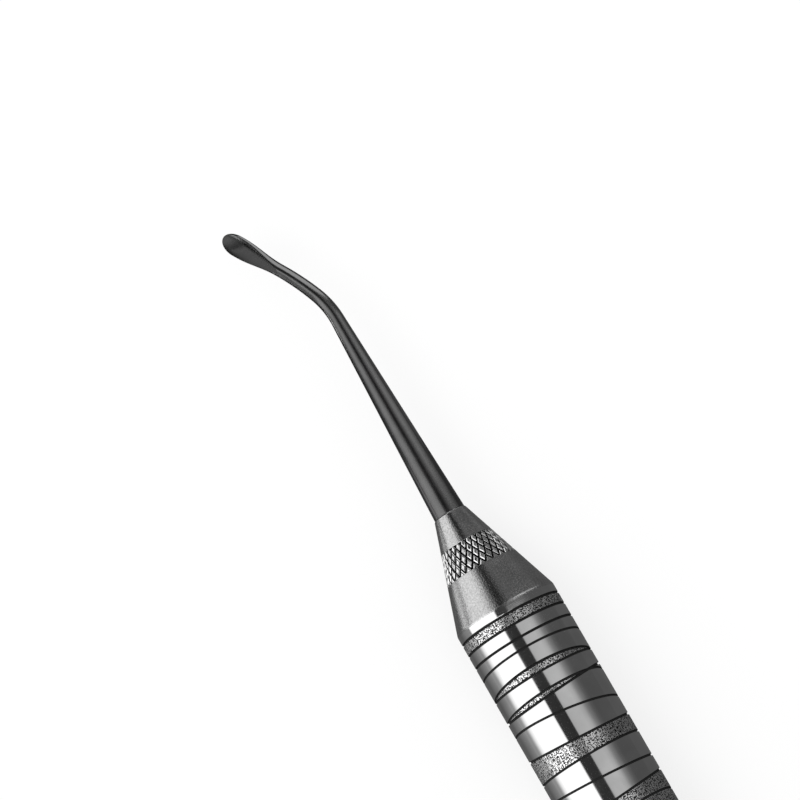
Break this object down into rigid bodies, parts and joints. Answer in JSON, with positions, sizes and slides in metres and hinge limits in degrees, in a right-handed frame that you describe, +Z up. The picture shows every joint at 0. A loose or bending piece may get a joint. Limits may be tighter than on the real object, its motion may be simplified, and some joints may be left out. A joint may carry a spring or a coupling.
{
  "type": "raspatory",
  "caption": "Slim hand-held surgical raspatory: a black hollow-ground blade on a bent neck, a knurled steel nose cone and a round engraved hollow handle.",
  "frame": {"origin": "on the floor that the instrument lies on, under the handle's axis, at mid-length between the butt and the tip", "axes": "+X along the handle's axis from the butt to the tip, +Y the side that the neck bends to, +Z up, the side that the hollow face looks to"},
  "size_m": [0.1679, 0.0107, 0.01],
  "materials": {
    "black_coated_steel": "thin black hard coating on steel, semi-matt",
    "satin_steel": "bead-blasted satin, turned, with a cut knurl",
    "engraved_steel": "polished with stippled fields and black engraved grooves",
    "plug_steel": "satin, turned"
  },
  "bodies": {
    "root": {"working_end": "black_coated_steel", "front_cone": "satin_steel", "handle_tube": "engraved_steel", "end_plug": "plug_steel"}
  },
  "joints": []
}
